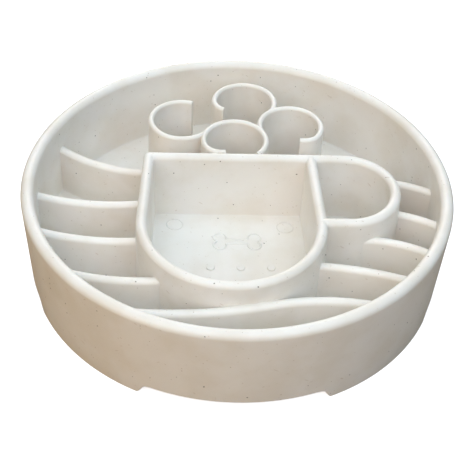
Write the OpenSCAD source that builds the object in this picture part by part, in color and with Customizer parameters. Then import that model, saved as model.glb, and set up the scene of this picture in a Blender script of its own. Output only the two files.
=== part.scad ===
// Slow feeder bowl, one stiff plastic moulding about 215 mm across.
// A mug-shaped compartment with its handle stands in the middle. Curving ridges run from it
// to the outer wall, and four open curls stand behind it like steam. Every ridge, curl and
// wall is drafted and has a full-round top. The bowl rests on four low feet.

/* [Bowl] */
// outer diameter over the rounded rim
bowl_d = 215; // [180:1:260]
// height from the resting plane to the top of the rim
bowl_h = 53.3; // [44:0.1:70]
// radius of the full-round rim, half the wall's thickness there
rim_round = 3.25; // [2.4:0.05:4.5]
// how far the outer face leans in from the rim to the resting plane
bowl_lean = 2.4; // [0:0.1:6]
// how far the inner face leans in from the rim to the floor
inner_lean = 0.5; // [0:0.1:2]

/* [Floor and feet] */
// height of the floor's upper face
floor_z = 12; // [9:0.5:18]
// thickness of the floor
floor_t = 2.8; // [2:0.1:5]
// height of the feet, which is also the height of the gaps between them
foot_h = 6.5; // [3:0.5:8]
// width of the gap between two feet, measured where the gap is widest
foot_gap_w = 89; // [50:1:120]
// length of the sloping end of a foot
foot_ramp = 3.5; // [2:0.5:9]

/* [Mug compartment] */
// thickness of the mug's wall just below its rounded top
mug_t = 5.4; // [4:0.1:7]
// height of the mug's and the handle's rim above the resting plane
mug_top = 50.5; // [40:0.5:54]
// angle in degrees by which each side splays outwards towards the round end
mug_splay = 2.3; // [0:0.1:6]
// radius of the mug's round end, to the middle of the wall
mug_end_r = 43.75; // [30:0.05:50]
// place of the mug's middle, left of the bowl's middle
mug_left = 3.5; // [0:0.1:10]
// place of the middle of the back wall, behind the bowl's middle
mug_back = 22.1; // [10:0.1:30]
// clear space between the mug's round end and the outer wall, at the rims
front_gap = 26.6; // [18:0.1:34]

/* [Handle] */
// clear space between the handle's bend and the outer wall, at the rims
handle_gap = 19.2; // [14:0.1:24]
// how far the handle's lower run lies behind the place where the mug's round end starts
handle_rise = 0.45; // [0:0.05:4]

/* [Ridges] */
// thickness of a ridge just below its rounded top
ridge_t = 4.8; // [3.6:0.1:6]
// height of the ridges' tops above the resting plane
ridge_top = 38.8; // [28:0.2:48]
// thickness of the wavy front ridge just below its rounded top
wave_t = 5.2; // [4:0.1:7]
// how far the middle of the front ridge stands out from the middle of the mug's wall
wave_out = 4.35; // [3:0.05:8]

/* [Curls] */
// thickness of a curl just below its rounded top
curl_t = 3; // [2.2:0.1:4]
// clear space between the rearmost curl and the outer wall, at the rims
back_gap = 13; // [6:0.2:16]

/* [Nubs] */
// radius of a raised nub on the mug's floor
nub_r = 2.2; // [1.2:0.1:3.5]
// height of a nub
nub_h = 0.8; // [0.4:0.1:1.5]
// spacing of the nubs
nub_gap = 15.5; // [8:0.5:18]

/* [Hidden] */
$fn = 96;
// how far walls and trimming solids run on below the floor before they are cut off there
overrun = 4;
cream = [0.88, 0.86, 0.82];

// slope of every upright face: sideways travel for each unit of height
draft_share = 0.01;

bowl_r = bowl_d / 2;
rim_mid_z = bowl_h - rim_round;
inner_rim_r = bowl_r - 2 * rim_round;
inner_floor_r = inner_rim_r - inner_lean;
base_r = bowl_r - bowl_lean;
foot_top_r = base_r + bowl_lean * foot_h / rim_mid_z;

// middles of the curls as shares of a curl's radius, from the middle of the mug's back face
curl_left_shares = [-1.538, 1.716];
curl_centre_shares = [0.17, 0.684];
curl_right_shares = [1.994, 1.468];
curl_top_shares = [0.522, 2.762];

mug_x = -mug_left;
mug_half = mug_t / 2;
mug_back_face = mug_back + mug_half;
mug_end_y = mug_end_r + mug_half + front_gap - inner_rim_r;
mug_side_l = (mug_back - mug_end_y - mug_end_r * sin(mug_splay)) / cos(mug_splay);
mug_end_c = [mug_x, mug_end_y];
mug_el = mug_end_c + mug_end_r * [-cos(mug_splay), sin(mug_splay)];
mug_er = mug_end_c + mug_end_r * [cos(mug_splay), sin(mug_splay)];
mug_bl = mug_el + mug_side_l * [sin(mug_splay), cos(mug_splay)];
mug_br = mug_er + mug_side_l * [-sin(mug_splay), cos(mug_splay)];

// radius of a curl, to the middle of its wall: the curls fill the space behind the mug
curl_space = inner_rim_r - back_gap - mug_back_face - curl_t / 2;
curl_r = curl_space / (curl_top_shares[1] + 1);

// the bend at a curl's tip is tighter
curl_tip_share = 0.5458;
curl_tip_r = curl_tip_share * curl_r;

mug_lean = draft_share * (mug_top - mug_half - floor_z);

// the posts at the mug's back corners stand out from its walls by this much
corner_bead = 0.08;

// the handle's rim lies a hair below the mug's
handle_step = 0.15;
handle_top = mug_top - handle_step;
deep = floor_z - overrun;

// the handle's straight run starts where the mug's corner ends
handle_x = mug_br[0] + mug_half + mug_lean + corner_bead;
handle_r = (mug_back - mug_end_y - handle_rise) / 2;
handle_c = [inner_rim_r - handle_gap - mug_half - handle_r, mug_back - handle_r];

// each ridge follows an arc from the mug or its handle to the middle of the outer wall. A row
// holds the place where the arc starts, the turn where it ends and how far it bends off the
// straight line. The start is a share of the mug's side, or a turn on a round stretch.
left_side_ridge_shares = [[1, 0.4313, 0.0915], [0.5027, 0.4937, 0.0685]];
left_end_ridge_shares = [[0.5074, 0.5344, 0.0602], [0.6158, 0.5771, 0.0685]];
handle_ridge_shares = [[0.1638, 0.0122, 0.074], [-0.0273, -0.0268, 0.0475], [-0.2173, -0.0608, 0.0827]];
right_end_ridge_shares = [-0.0671, -0.0935, 0.0412];

// the front ridge is two arcs that pass into each other at one point, bending opposite ways
wave_joint_share = -0.1885;
wave_slope = 14.1;
wave_left_share = 1.907;
wave_right_share = 0.954;
wave_turn_shares = [0.0667, 0.0931];

// the curls stop a hair below the mug's rim, and each a hair below the one it runs into
curl_drop = 0.15;
curl_step = 0.15;
curl_centre_top = mug_top - curl_drop;
curl_side_top = curl_centre_top - curl_step;
curl_top_top = curl_side_top - curl_step;

// turns of each curl: where its tip starts, how far it bends on and how far its tip bends back
curl_left_turn_shares = [0.1944, 0.6806];
curl_centre_turn_shares = [0.5278, 0.6556, 0.2639];
curl_right_turn_shares = [-0.0722, 0.6139, 0.2194];
curl_top_turn_shares = [0.4778, 0.5583, 0.2056];
curl_trim_turn_share = 0.375;

// place of the row of nubs: how far back from the round end's middle, and how far across
nub_row_share = 0.126;
nub_shift_share = 0.0565;
nub_places = [-1, 0, 1];

// turn of the four gaps between the feet, in degrees from the bowl's front, back and sides
foot_turn = -1.3;

// upright wall in section: drafted sides from the height low and a full-round top
module wall_section(half, top, low = floor_z) {
    lean = draft_share * (top - half - low);
    translate([0, top - half]) circle(r = half);
    polygon([[-half - lean, low], [half + lean, low], [half, top - half], [-half, top - half]]);
}

// straight stretch of wall from p to q
module wall_run(p, q, half, top, low = floor_z) {
    translate([p[0], p[1], 0])
        rotate([0, 0, atan2(q[1] - p[1], q[0] - p[0])])
            rotate([90, 0, 90])
                linear_extrude(height = norm(q - p)) wall_section(half, top, low);
}

// stretch of wall bent round c
module wall_bend(c, r, a0, a1, half, top, low = floor_z) {
    translate([c[0], c[1], 0])
        rotate([0, 0, a0])
            rotate_extrude(angle = a1 - a0)
                translate([r, 0]) wall_section(half, top, low);
}

// rounded post at a corner p of the mug, a hair wider than the walls that meet there
module corner_post(p) {
    wide = mug_half + corner_bead;
    translate([p[0], p[1], 0])
        rotate_extrude() intersection() {
            wall_section(wide, mug_top + corner_bead, deep);
            square([mug_top, 2 * mug_top]);
        }
}

module outer_wall() {
    color(cream) rotate_extrude() {
        translate([bowl_r - rim_round, rim_mid_z]) circle(r = rim_round);
        polygon([
            [inner_floor_r, foot_h], [foot_top_r, foot_h], [bowl_r, rim_mid_z],
            [inner_rim_r, rim_mid_z], [inner_floor_r, floor_z]
        ]);
    }
}

// gap under the wall, widest at the resting plane, with sloping ends
module foot_gap() {
    half = foot_gap_w / 2;
    rotate([90, 0, 0]) linear_extrude(height = bowl_d)
        polygon([
            [-half - foot_ramp, -foot_h], [half + foot_ramp, -foot_h],
            [half - foot_ramp, foot_h], [-half + foot_ramp, foot_h]
        ]);
}

module feet() {
    color(cream) difference() {
        rotate_extrude() polygon([
            [inner_floor_r, 0], [base_r, 0], [foot_top_r, foot_h], [inner_floor_r, foot_h]
        ]);
        for (k = [0:3]) rotate([0, 0, foot_turn + 90 * k]) foot_gap();
    }
}

module bowl_floor() {
    color(cream) translate([0, 0, floor_z - floor_t])
        cylinder(r = inner_floor_r, h = floor_t);
}

// solid block behind the outer face of a stretch of wall, which trims whatever runs up to it
module side_trim(p, q) {
    lean = draft_share * (mug_top - mug_half - deep);
    translate([p[0], p[1], 0])
        rotate([0, 0, atan2(q[1] - p[1], q[0] - p[0])])
            rotate([90, 0, 90])
                linear_extrude(height = norm(q - p))
                    polygon([
                        [-mug_half - lean, deep], [mug_end_r, deep], [mug_end_r, mug_top],
                        [-mug_half, mug_top], [-mug_half, mug_top - mug_half]
                    ]);
}

// solid cone behind the outer face of a bend, which trims whatever runs up to it
module bend_trim(c, r, half, top) {
    tall = top - half - deep;
    translate([c[0], c[1], deep])
        cylinder(r1 = r + half + draft_share * tall, r2 = r + half, h = tall);
    translate([c[0], c[1], top - half]) cylinder(r = r + half, h = half);
}

// space inside the bowl's inner face, up to the rim and on below the floor
module inside_bowl() {
    slope = (inner_rim_r - inner_floor_r) / (rim_mid_z - floor_z);
    translate([0, 0, deep])
        cylinder(r1 = inner_floor_r - slope * overrun, r2 = inner_rim_r, h = rim_mid_z - deep);
}

// everything below the floor's upper face
module below_floor() {
    translate([-bowl_r, -bowl_r, floor_z - bowl_h]) cube([bowl_d, bowl_d, bowl_h]);
}

// straight back and sides of the mug
module mug_wall() {
    color(cream) difference() {
        union() {
            wall_run(mug_bl, [handle_x, mug_back], mug_half, mug_top, deep);
            wall_run(mug_bl, mug_el, mug_half, mug_top, deep);
            wall_run(mug_br, mug_er, mug_half, mug_top, deep);
            corner_post(mug_bl);
            corner_post(mug_br);
        }
        below_floor();
    }
}

// round end of the mug, which carries on from its sides
module mug_round_end() {
    color(cream)
        wall_bend(mug_end_c, mug_end_r, 180 - mug_splay, 360 + mug_splay, mug_half, mug_top);
}

module mug_handle() {
    low_y = handle_c[1] - handle_r;
    color(cream) {
        wall_run([handle_x, mug_back], [handle_c[0], mug_back], mug_half, handle_top);
        wall_bend(handle_c, handle_r, -90, 90, mug_half, handle_top);
        difference() {
            wall_run([mug_er[0], low_y], [handle_c[0], low_y], mug_half, handle_top);
            wall_run(2 * mug_er - mug_br, mug_br, mug_half, mug_top, deep);
        }
    }
}

// place on a circle about c at a turn, and the place where a ridge ends in the outer wall
function on_circle(c, r, turn) = c + r * [cos(360 * turn), sin(360 * turn)];
function wall_end(turn) = on_circle([0, 0], bowl_r - rim_round, turn);

// a ridge from p to q along the arc that bends off by a share of their distance. It runs on past
// q, and is trimmed by the outer wall and by its children
module ridge(p, q, bend_share) {
    chord = norm(q - p);
    r = chord * (bend_share / 2 + 1 / (8 * bend_share));
    side = [p[1] - q[1], q[0] - p[0]] / chord;
    c = (p + q) / 2 - (r - bend_share * chord) * side;
    a = atan2(q[1] - c[1], q[0] - c[0]);
    run_on = atan2(ridge_t, r);
    color(cream) difference() {
        intersection() {
            wall_bend(c, r, a - run_on, a + 2 * asin(chord / (2 * r)), ridge_t / 2, ridge_top);
            inside_bowl();
        }
        children();
    }
}

// ridge from the mug's left side
module side_ridge(shares) {
    ridge(mug_el + shares[0] * (mug_bl - mug_el), wall_end(shares[1]), shares[2]) children();
}

// ridge from the mug's round end
module end_ridge(shares) {
    ridge(on_circle(mug_end_c, mug_end_r, shares[0]), wall_end(shares[1]), shares[2])
        bend_trim(mug_end_c, mug_end_r, mug_half, mug_top);
}

// ridge from the handle's bend
module handle_ridge(shares) {
    ridge(on_circle(handle_c, handle_r, shares[0]), wall_end(shares[1]), shares[2])
        bend_trim(handle_c, handle_r, mug_half, handle_top);
}

module left_ridge_1() {
    side_ridge(left_side_ridge_shares[0]) {
        side_trim(mug_bl, mug_el);
        side_trim(mug_br, mug_bl);
        corner_post(mug_bl);
    }
}

module left_ridge_2() {
    side_ridge(left_side_ridge_shares[1]) side_trim(mug_bl, mug_el);
}

module left_ridge_3() {
    end_ridge(left_end_ridge_shares[0]);
}

module left_ridge_4() {
    end_ridge(left_end_ridge_shares[1]);
}

module right_ridge_1() {
    handle_ridge(handle_ridge_shares[0]);
}

module right_ridge_2() {
    handle_ridge(handle_ridge_shares[1]);
}

module right_ridge_3() {
    handle_ridge(handle_ridge_shares[2]);
}

module right_ridge_4() {
    end_ridge(right_end_ridge_shares);
}

// one arc of the front ridge, which starts at the joint and bends about a middle beside it
module wave_arc(r, turn) {
    translate([0, r, 0]) rotate([0, 0, -90]) mirror([0, 1, 0])
        rotate_extrude(angle = 360 * turn) translate([r, 0]) wall_section(wave_t / 2, ridge_top);
}

module front_wave() {
    joint = on_circle(mug_end_c, mug_end_r + wave_out, wave_joint_share);
    color(cream) difference() {
        intersection() {
            translate([joint[0], joint[1], 0]) rotate([0, 0, wave_slope]) {
                wave_arc(wave_left_share * bowl_r, wave_turn_shares[0]);
                rotate([0, 0, 180]) wave_arc(wave_right_share * bowl_r, wave_turn_shares[1]);
            }
            inside_bowl();
        }
        bend_trim(mug_end_c, mug_end_r, mug_half, mug_top);
    }
}

// middle of a curl from its shares
function curl_c(shares) = [mug_x, mug_back_face] + shares * curl_r;

// wide arc and tighter tip of a curl, which pass into each other on the X axis
module curl_arcs(top, turns) {
    mirror([0, 1, 0]) rotate_extrude(angle = 360 * turns[1])
        translate([curl_r, 0]) wall_section(curl_t / 2, top);
    translate([curl_r - curl_tip_r, 0, 0]) rotate_extrude(angle = 360 * turns[2])
        translate([curl_tip_r, 0]) wall_section(curl_t / 2, top);
}

// a curl that bends on clockwise from where its tip starts or, flipped, anticlockwise
module curl_body(shares, top, turns, flipped) {
    c = curl_c(shares);
    translate([c[0], c[1], 0]) rotate([0, 0, 360 * turns[0]]) {
        if (flipped) mirror([0, 1, 0]) curl_arcs(top, turns);
        else curl_arcs(top, turns);
    }
}

// solid that trims the curl that runs into this one
module curl_trim(shares, top) {
    bend_trim(curl_c(shares), curl_r, curl_t / 2, top);
}

module curl_centre() {
    color(cream) difference() {
        curl_body(curl_centre_shares, curl_centre_top, curl_centre_turn_shares, false);
        side_trim(mug_br, mug_bl);
    }
}

module curl_left() {
    left_start = 360 * curl_left_turn_shares[0];
    left_end = left_start + 360 * curl_left_turn_shares[1];
    color(cream) difference() {
        wall_bend(curl_c(curl_left_shares), curl_r, left_start, left_end, curl_t / 2, curl_side_top);
        curl_trim(curl_centre_shares, curl_centre_top);
    }
}

module curl_right() {
    color(cream) difference() {
        curl_body(curl_right_shares, curl_side_top, curl_right_turn_shares, true);
        curl_trim(curl_centre_shares, curl_centre_top);
    }
}

module curl_top() {
    end = 360 * (curl_right_turn_shares[0] + curl_right_turn_shares[1]);
    color(cream) difference() {
        curl_body(curl_top_shares, curl_top_top, curl_top_turn_shares, false);
        wall_bend(curl_c(curl_right_shares), curl_r, end - 360 * curl_trim_turn_share, end,
            curl_t / 2, curl_side_top, deep);
    }
}

// low raised nubs in a row on the mug's floor
module floor_nubs() {
    row_y = mug_end_y + nub_row_share * mug_side_l;
    color(cream) for (k = nub_places)
        translate([nub_shift_share * mug_end_r + k * nub_gap, row_y, floor_z])
            cylinder(r1 = nub_r, r2 = nub_r - nub_h, h = nub_h);
}

outer_wall();
feet();
bowl_floor();
mug_wall();
mug_round_end();
mug_handle();
left_ridge_1();
left_ridge_2();
left_ridge_3();
left_ridge_4();
right_ridge_1();
right_ridge_2();
right_ridge_3();
right_ridge_4();
front_wave();
curl_centre();
curl_left();
curl_right();
curl_top();
floor_nubs();
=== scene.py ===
"""Looks of a slow feeder bowl: one speckled off-white moulding, dressed piece by piece.

Every upright wall is a drafted section with a full-round top and a small fillet at its foot,
carried along the plan path that the CAD part gives. Where a wall runs into a neighbour, its
surface flares out into a small fillet. Sizes are in millimetres and repeat the CAD part's.
"""
import logging
import math
from dataclasses import dataclass, field, fields
from enum import Enum

import bmesh
import bpy
import numpy as np
from mathutils import Matrix


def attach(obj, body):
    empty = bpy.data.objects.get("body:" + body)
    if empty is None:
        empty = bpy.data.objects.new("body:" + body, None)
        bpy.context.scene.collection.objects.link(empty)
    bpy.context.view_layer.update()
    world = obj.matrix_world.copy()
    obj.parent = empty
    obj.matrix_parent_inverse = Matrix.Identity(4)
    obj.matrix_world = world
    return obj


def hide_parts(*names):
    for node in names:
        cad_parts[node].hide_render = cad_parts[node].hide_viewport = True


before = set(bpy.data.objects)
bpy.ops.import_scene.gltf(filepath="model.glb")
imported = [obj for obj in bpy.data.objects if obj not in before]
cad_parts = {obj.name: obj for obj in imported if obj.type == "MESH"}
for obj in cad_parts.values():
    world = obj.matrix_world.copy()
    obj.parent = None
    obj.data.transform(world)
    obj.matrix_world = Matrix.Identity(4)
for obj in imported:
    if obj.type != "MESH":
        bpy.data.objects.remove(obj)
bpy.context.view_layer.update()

LOG = logging.getLogger("bowl")
MM = 0.001
SLOT = "speckled_plastic"
SHARP_TURN = math.radians(50)
TINY = 1e-4


# Sizes

def plan(angle: float) -> np.ndarray:
    """Unit vector in plan at an angle in radians."""
    return np.array([math.cos(angle), math.sin(angle)])


def ways(angles: np.ndarray) -> np.ndarray:
    """Unit vectors in plan, or in a profile, at angles in radians."""
    return np.stack([np.cos(angles), np.sin(angles)], 1)


def smooth(share: np.ndarray) -> np.ndarray:
    """Smooth step: three times the square less twice the cube of a share, kept between 0 and 1."""
    share = np.clip(share, 0, 1)
    return share * share * (3 - 2 * share)


@dataclass(frozen=True)
class Bowl:
    """Sizes of the bowl's ring, floor and feet, as in the CAD part."""
    r: float = 107.5
    top: float = 53.3
    rim: float = 3.25
    lean: float = 2.4
    inner_lean: float = 0.5
    floor: float = 12.0
    floor_t: float = 2.8
    foot_h: float = 6.5
    gap_w: float = 89.0
    ramp: float = 3.5
    foot_turn: float = -1.3
    draft: float = 0.01

    @property
    def rim_z(self) -> float:
        """Height of the rim's middle."""
        return self.top - self.rim

    @property
    def mid_r(self) -> float:
        """Radius of the middle of the wall."""
        return self.r - self.rim

    @property
    def inner_r(self) -> float:
        """Radius of the inner face at the rim."""
        return self.r - 2 * self.rim

    def outer(self, z: np.ndarray) -> np.ndarray:
        """Radius of the outer face: it leans in evenly from the rim's middle to the resting plane."""
        return self.r - self.lean * (1 - np.asarray(z) / self.rim_z)

    def inner(self, z: np.ndarray) -> np.ndarray:
        """Radius of the inner face: it leans in from the rim to the floor and is upright below."""
        up = np.clip((np.asarray(z) - self.floor) / (self.rim_z - self.floor), 0, 1)
        return self.inner_r - self.inner_lean * (1 - up)


@dataclass(frozen=True)
class Mug:
    """Plan of the mug and its handle, as in the CAD part."""
    half: float = 2.7
    top: float = 50.5
    end_r: float = 43.75
    splay: float = math.radians(2.3)
    x: float = -3.5
    back: float = 22.1
    front_gap: float = 26.6
    handle_gap: float = 19.2
    handle_rise: float = 0.45
    post_out: float = 0.08

    @property
    def end_c(self) -> np.ndarray:
        """Middle of the round end."""
        return np.array([self.x, self.end_r + self.half + self.front_gap - BOWL.inner_r])

    def end_corner(self, side: int) -> np.ndarray:
        """Place where a straight side (-1 left, 1 right) meets the round end."""
        return self.end_c + self.end_r * np.array([side * math.cos(self.splay), math.sin(self.splay)])

    def back_corner(self, side: int) -> np.ndarray:
        """Place where a straight side (-1 left, 1 right) meets the back."""
        low = self.end_corner(side)
        return np.array([low[0] - side * (self.back - low[1]) * math.tan(self.splay), self.back])

    @property
    def handle_r(self) -> float:
        """Radius of the handle's bend."""
        return (self.back - self.end_c[1] - self.handle_rise) / 2

    @property
    def handle_c(self) -> np.ndarray:
        """Middle of the handle's bend."""
        reach = BOWL.inner_r - self.handle_gap - self.half
        return np.array([reach - self.handle_r, self.back - self.handle_r])

    @property
    def handle_x(self) -> float:
        """Place where the handle's straight run starts."""
        lean = BOWL.draft * (self.top - self.half - BOWL.floor)
        return self.back_corner(1)[0] + self.half + lean + self.post_out


@dataclass(frozen=True)
class Curls:
    """Sizes and places of the four curls, as in the CAD part."""
    half: float = 1.5
    top: float = 50.4
    back_gap: float = 13.0
    tip_share: float = 0.5458
    left: tuple[float, float] = (-1.538, 1.716)
    centre: tuple[float, float] = (0.17, 0.684)
    right: tuple[float, float] = (1.994, 1.468)
    rear: tuple[float, float] = (0.522, 2.762)

    @property
    def r(self) -> float:
        """Radius of a curl: the curls fill the space behind the mug."""
        room = BOWL.inner_r - self.back_gap - MUG.back - MUG.half - self.half
        return room / (self.rear[1] + 1)

    def middle(self, shares: tuple[float, float]) -> np.ndarray:
        """Middle of a curl from its shares of the radius."""
        return np.array([MUG.x, MUG.back + MUG.half]) + self.r * np.array(shares)


BOWL = Bowl()
MUG = Mug()
CURLS = Curls()
RIDGE_HALF = 2.4
RIDGE_TOP = 38.8
WAVE_HALF = 2.6
MARK_SINK = 0.3


# Lines in plan

@dataclass(frozen=True)
class Path:
    """Plan path of a wall: at each step its middle, its heading and the way to its two faces.

    left and right lead from the middle to a face for each unit of half thickness. On a plain
    stretch they are unit vectors square to the heading, and at a corner they are longer.
    """
    points: np.ndarray
    ahead: np.ndarray
    left: np.ndarray
    right: np.ndarray

    @staticmethod
    def steps(length: float, fine: float = 0.13, coarse: float = 0.9, zone: float = 6.0) -> np.ndarray:
        """Distances along a path, close together near both ends, where the fillets are.

        Args:
            length: the path's length.
            fine: step near the ends.
            coarse: step between them.
            zone: length of each close stretch.

        Returns:
            The distances from zero to the length.
        """
        zone = min(zone, length / 2)
        head = np.linspace(0, zone, max(int(zone / fine), 2))
        body = np.linspace(zone, length - zone, max(int((length - 2 * zone) / coarse), 2))
        return np.unique(np.round(np.concatenate([head, body, length - head]), 6))

    @classmethod
    def plain(cls, points: np.ndarray, headings: np.ndarray) -> "Path":
        """Path whose faces are square to its headings.

        Args:
            points: its middle at each step.
            headings: its headings in radians.

        Returns:
            The path.
        """
        ahead = ways(headings)
        left = np.stack([-ahead[:, 1], ahead[:, 0]], 1)
        return cls(points, ahead, left, -left)

    @classmethod
    def line(cls, p: np.ndarray | list[float], q: np.ndarray | list[float]) -> "Path":
        """Straight path.

        Args:
            p: its start.
            q: its end.

        Returns:
            The path.
        """
        p = np.asarray(p, float)
        run = np.asarray(q, float) - p
        length = float(np.hypot(*run))
        s = cls.steps(length)[:, None] / length
        return cls.plain(p + s * run, np.full(len(s), math.atan2(run[1], run[0])))

    @classmethod
    def arc(cls, c: np.ndarray | tuple[float, float], r: float, start: float, end: float) -> "Path":
        """Round path, anticlockwise if its end angle is the larger one.

        Args:
            c: the arc's middle.
            r: its radius.
            start: angle of its start, in degrees.
            end: angle of its end, in degrees.

        Returns:
            The path.
        """
        turn = 1 if end > start else -1
        a = math.radians(start) + turn * cls.steps(math.radians(abs(end - start)) * r) / r
        return cls.plain(np.asarray(c) + r * ways(a), a + turn * math.pi / 2)

    @classmethod
    def corner(cls, p: np.ndarray, m: np.ndarray, q: np.ndarray, half: float, outer: float,
               inner: float, chords: int = 16) -> "Path":
        """Straight path that turns right at a corner where each face has its own radius.

        Both faces keep half a thickness from the straight legs. Along the legs the steps on the
        left face run ahead of those on the right one, so that both reach their arcs together.

        Args:
            p: start of the path.
            m: the corner.
            q: end of the path.
            half: half the wall's thickness.
            outer: radius of the left face's arc.
            inner: radius of the right face's arc.
            chords: number of an arc's chords.

        Returns:
            The path.
        """
        p, m, q = (np.asarray(v, float) for v in (p, m, q))
        runs = [m - p, q - m]
        lengths = [float(np.hypot(*v)) for v in runs]
        h0, h1 = (math.atan2(v[1], v[0]) for v in runs)
        turn = h0 - h1
        tan = math.tan(turn / 2)
        early = np.array([(half - outer) * tan, -(half + inner) * tan])
        side = np.array([half, -half])
        s = cls.steps(lengths[0])[:, None] / lengths[0]
        t = -lengths[0] + s * (lengths[0] + early)
        first = m + t[..., None] * plan(h0) + side[:, None] * plan(h0 + math.pi / 2)
        a = h0 + math.pi / 2 - np.linspace(0, turn, chords + 1)[1:-1]
        round_r = np.array([outer, inner])
        hub = m + early[:, None] * plan(h0) + (side - round_r)[:, None] * plan(h0 + math.pi / 2)
        middle = hub + round_r[:, None] * ways(a)[:, None]
        s = cls.steps(lengths[1])[:, None] / lengths[1]
        t = -early + s * (lengths[1] + early)
        last = m + t[..., None] * plan(h1) + side[:, None] * plan(h1 + math.pi / 2)
        faces = np.concatenate([first, middle, last])
        points = faces.mean(1)
        headings = np.concatenate([np.full(len(first), h0), a - math.pi / 2, np.full(len(last), h1)])
        return cls(points, ways(headings), (faces[:, 0] - points) / half, (faces[:, 1] - points) / half)

    def then(self, other: "Path") -> "Path":
        """This path and the next one, which starts where it ends."""
        both = ((getattr(self, f.name), getattr(other, f.name)[1:]) for f in fields(Path))
        return Path(*map(np.vstack, both))


# Shells

def grid(rows: int, cols: int, round_rows: bool = False, round_cols: bool = True) -> np.ndarray:
    """Faces of a grid of vertices that are numbered row by row.

    Args:
        rows: number of rows.
        cols: number of vertices in a row.
        round_rows: whether the last row joins the first.
        round_cols: whether the last vertex of a row joins the first.

    Returns:
        Vertex numbers, four for each face.
    """
    spans = np.arange(rows - (not round_rows)), np.arange(cols - (not round_cols))
    i, j = (v.ravel() for v in np.meshgrid(*spans, indexing="ij"))
    i1, j1 = (i + 1) % rows, (j + 1) % cols
    return np.stack([i * cols + j, i * cols + j1, i1 * cols + j1, i1 * cols + j], 1)


@dataclass
class Shell:
    """Closed surface in millimetres: vertices, four-sided faces and triangles."""
    verts: np.ndarray
    quads: np.ndarray
    tris: np.ndarray = field(default_factory=lambda: np.zeros((0, 3), int))

    @staticmethod
    def together(shells: list["Shell"]) -> "Shell":
        """Several shells as one mesh.

        Args:
            shells: the shells.

        Returns:
            One shell that holds them all.
        """
        first = np.cumsum([0] + [len(s.verts) for s in shells[:-1]])
        return Shell(np.vstack([s.verts for s in shells]),
                     np.vstack([s.quads + n for s, n in zip(shells, first)]),
                     np.vstack([s.tris + n for s, n in zip(shells, first)]))


@dataclass(frozen=True)
class Section:
    """Cross-section of an upright wall: foot fillets, drafted sides and a full-round top."""
    half: float
    top: float
    foot: float = 0.5
    base: float = BOWL.floor
    sink: float = 0.4
    crown_steps: int = 12
    foot_steps: int = 4
    side_steps: int = 5

    @classmethod
    def mark(cls, half: float, height: float, foot: float) -> "Section":
        """Section of a low raised line on the floor."""
        return cls(half, BOWL.floor + height, foot, sink=MARK_SINK, crown_steps=4, foot_steps=3,
                   side_steps=2)

    def wide(self, z: np.ndarray) -> np.ndarray:
        """Half thickness at a height: the draft widens the wall below its round top."""
        return self.half + BOWL.draft * np.maximum(self.top - self.half - z, 0)

    def outline(self) -> tuple[np.ndarray, np.ndarray]:
        """Points from the foot of the left face over the top to the foot of the right one.

        The foot is a quarter circle from the floor to the side. The side leans in by the draft for
        each unit of height. The top is a half circle of half the thickness.

        Returns:
            Points (across, height) and their normals.
        """
        shoulder = self.top - self.half
        t = np.linspace(0, math.pi / 2, self.foot_steps + 1)
        foot_x = self.half + BOWL.draft * (shoulder - self.base - self.foot) + self.foot * (1 - np.sin(t))
        foot = np.stack([foot_x, self.base + self.foot * (1 - np.cos(t))], 1)
        z = np.linspace(self.base + self.foot, shoulder, self.side_steps + 1)[1:-1]
        side = np.stack([self.half + BOWL.draft * (shoulder - z), z], 1)
        crown = ways(np.linspace(0, math.pi / 2, self.crown_steps + 1))
        half = np.vstack([foot, side, self.half * crown + [0, shoulder]])
        normal = np.vstack([ways(t)[:, ::-1], np.tile([1.0, BOWL.draft], (len(z), 1)), crown])
        mirror = np.array([-1.0, 1.0])
        return np.vstack([half, half[-2::-1] * mirror]), np.vstack([normal, normal[-2::-1] * mirror])


MUG_WALL = Section(MUG.half, MUG.top)
CURL_WALL = Section(CURLS.half, CURLS.top, crown_steps=8)


# Neighbours that a wall runs into

class Meeting(Enum):
    """How a wall runs into its neighbour."""
    TALL = "the neighbour rises past it, so the round top flares too"
    LEVEL = "the tops are level, so only the sides flare"


@dataclass(frozen=True)
class Neighbour:
    """Upright wall that another wall runs into."""
    fillet: float
    meeting: Meeting

    def gap(self, xyz: np.ndarray) -> np.ndarray:
        """Distance in plan from the neighbour's face, below zero inside it."""
        raise NotImplementedError

    def flare(self, xyz: np.ndarray) -> np.ndarray:
        """How far a surface moves out near the face.

        Outside, it is a quarter circle that is tangent to both faces. Inside, it fades away over
        the fillet's radius.

        Args:
            xyz: points of the surface.

        Returns:
            The distance for each point.
        """
        g = self.gap(xyz)
        near = np.clip(g, 0, self.fillet)
        curve = self.fillet - np.sqrt(np.maximum(2 * self.fillet * near - near * near, 0))
        return curve * np.clip(1 + g / self.fillet, 0, 1)


@dataclass(frozen=True)
class RingNeighbour(Neighbour):
    """Inner face of the bowl's ring."""

    def gap(self, xyz: np.ndarray) -> np.ndarray:
        """Inner radius at that height less the distance from the bowl's middle."""
        return BOWL.inner(xyz[..., 2]) - np.hypot(xyz[..., 0], xyz[..., 1])


@dataclass(frozen=True)
class RoundNeighbour(Neighbour):
    """Wall that is bent round a middle."""
    wall: Section
    c: np.ndarray
    r: float

    def gap(self, xyz: np.ndarray) -> np.ndarray:
        """Distance from the wall's middle line less half its thickness at that height."""
        away = np.abs(np.hypot(xyz[..., 0] - self.c[0], xyz[..., 1] - self.c[1]) - self.r)
        return away - self.wall.wide(xyz[..., 2])


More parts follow.
